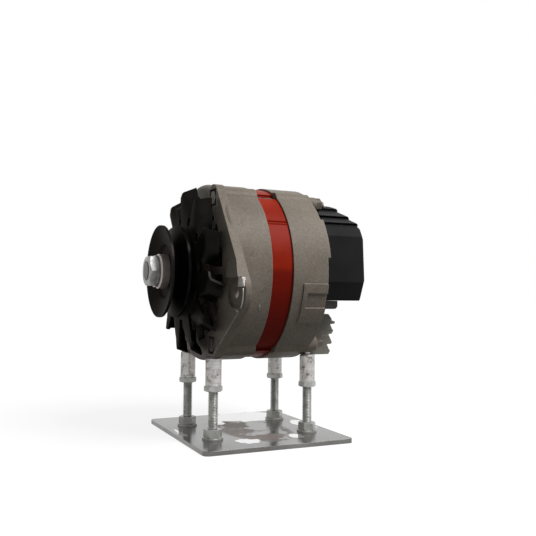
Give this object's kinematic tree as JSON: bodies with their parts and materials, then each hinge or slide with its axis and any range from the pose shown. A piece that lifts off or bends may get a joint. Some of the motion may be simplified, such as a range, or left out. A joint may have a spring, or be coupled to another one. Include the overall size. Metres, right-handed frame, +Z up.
{
  "type": "belt-driven alternator",
  "caption": "Belt-driven alternator with V-pulley, external fan, banded stator and finned rectifier, on a four-legged height-adjustable stand.",
  "frame": {"origin": "centre of the stand plate's underside", "axes": "+Z up, the shaft along Y with the pulley toward -Y and the rear cover toward +Y, +X the adjusting-ear side"},
  "size_m": [0.193, 0.182, 0.2115],
  "materials": {
    "plate_steel": "polished sheet steel with faint scratches",
    "zinc_steel": "bright zinc plate",
    "sleeve_steel": "turned steel with some rust",
    "cast_aluminium": "satin die casting",
    "sink_aluminium": "bare sand-blasted casting",
    "red_lacquer": "red lacquer over steel laminations",
    "winding_copper": "enamelled copper wire",
    "bare_steel": "forged and turned steel",
    "collar_steel": "grey-brown machined steel",
    "black_paint": "black paint over pressed steel",
    "bearing_steel": "ground bearing steel",
    "cage_brass": "pressed brass cage",
    "ring_copper": "turned copper slip ring",
    "black_plastic": "black moulded cover",
    "grey_plastic": "grey moulding",
    "brown_plastic": "brown insulating moulding",
    "bobbin_plastic": "natural nylon",
    "carbon": "pressed carbon",
    "regulator_case": "dark regulator case",
    "bush_steel": "plain steel bush"
  },
  "bodies": {
    "stand": {"stand_plate": "plate_steel", "leg_rods": "zinc_steel", "leg_washers": "zinc_steel", "leg_base_nuts": "zinc_steel"},
    "housing": {"leg_lock_nuts": "zinc_steel", "leg_sleeves": "sleeve_steel", "front_bracket": "cast_aluminium", "rear_bracket": "cast_aluminium", "stator_core": "red_lacquer", "stator_windings": "winding_copper", "stator_leads": "winding_copper", "through_bolts": "zinc_steel", "through_bolt_nuts": "zinc_steel", "front_bearing_outer_ring": "bearing_steel", "front_bearing_retainer": "bare_steel", "retainer_screws": "bare_steel", "rear_bearing_outer_ring": "bearing_steel", "pivot_bush": "bush_steel", "rear_cover": "black_plastic", "cover_studs": "zinc_steel", "cover_nuts": "zinc_steel", "brush_holder": "brown_plastic", "brush_holder_screws": "zinc_steel", "voltage_regulator": "regulator_case", "heat_sink": "sink_aluminium", "heat_sink_washers": "bobbin_plastic", "heat_sink_screws": "zinc_steel", "positive_diodes": "bare_steel", "negative_diodes": "bare_steel", "terminal_block": "grey_plastic", "output_stud": "ring_copper", "output_stud_nut": "zinc_steel", "output_terminal_shroud": "black_plastic", "brush_spring_front": "bare_steel", "brush_spring_rear": "bare_steel"},
    "rotor": {"rotor_shaft": "bare_steel", "pulley_front_half": "black_paint", "pulley_rear_half": "black_paint", "pulley_collar": "collar_steel", "pulley_lock_washer": "zinc_steel", "pulley_nut": "zinc_steel", "pulley_spacer": "collar_steel", "fan": "black_paint", "fan_spacer": "bare_steel", "shaft_key": "bare_steel", "claw_pole_front": "bare_steel", "claw_pole_rear": "bare_steel", "rotor_core": "bare_steel", "field_coil": "winding_copper", "coil_bobbin": "bobbin_plastic", "front_bearing_inner_ring": "bearing_steel", "rear_bearing_inner_ring": "bearing_steel", "slip_rings": "ring_copper", "slip_ring_insulator": "brown_plastic"},
    "front_balls": {"front_bearing_balls": "bearing_steel", "front_bearing_cage": "cage_brass"},
    "rear_balls": {"rear_bearing_balls": "bearing_steel", "rear_bearing_cage": "cage_brass"},
    "front_brush": {"brush_front": "carbon"},
    "rear_brush": {"brush_rear": "carbon"}
  },
  "joints": [
    {"name": "stand_height", "type": "slide", "parent": "stand", "child": "housing", "axis": [0, 0, 1], "range_m": [-0.006, 0.006]},
    {"name": "rotor_spin", "type": "hinge", "parent": "housing", "child": "rotor", "pos_m": [0, 0, 0.1375], "axis": [0, 1, 0], "continuous": true},
    {"name": "front_ball_orbit", "type": "hinge", "parent": "housing", "child": "front_balls", "pos_m": [0, 0, 0.1375], "axis": [0, 1, 0], "continuous": true},
    {"name": "rear_ball_orbit", "type": "hinge", "parent": "housing", "child": "rear_balls", "pos_m": [0, 0, 0.1375], "axis": [0, 1, 0], "continuous": true},
    {"name": "front_brush_slide", "type": "slide", "parent": "housing", "child": "front_brush", "axis": [0, 0, 1], "range_m": [0, 0.0045], "stiffness_N_per_m": 300, "springref_m": -0.01, "deforming": ["brush_spring_front"]},
    {"name": "rear_brush_slide", "type": "slide", "parent": "housing", "child": "rear_brush", "axis": [0, 0, 1], "range_m": [0, 0.0045], "stiffness_N_per_m": 300, "springref_m": -0.01, "deforming": ["brush_spring_rear"]}
  ],
  "couplings": [
    {"joint": "front_ball_orbit", "follows": "rotor_spin", "ratio": 0.3766},
    {"joint": "rear_ball_orbit", "follows": "rotor_spin", "ratio": 0.38}
  ]
}
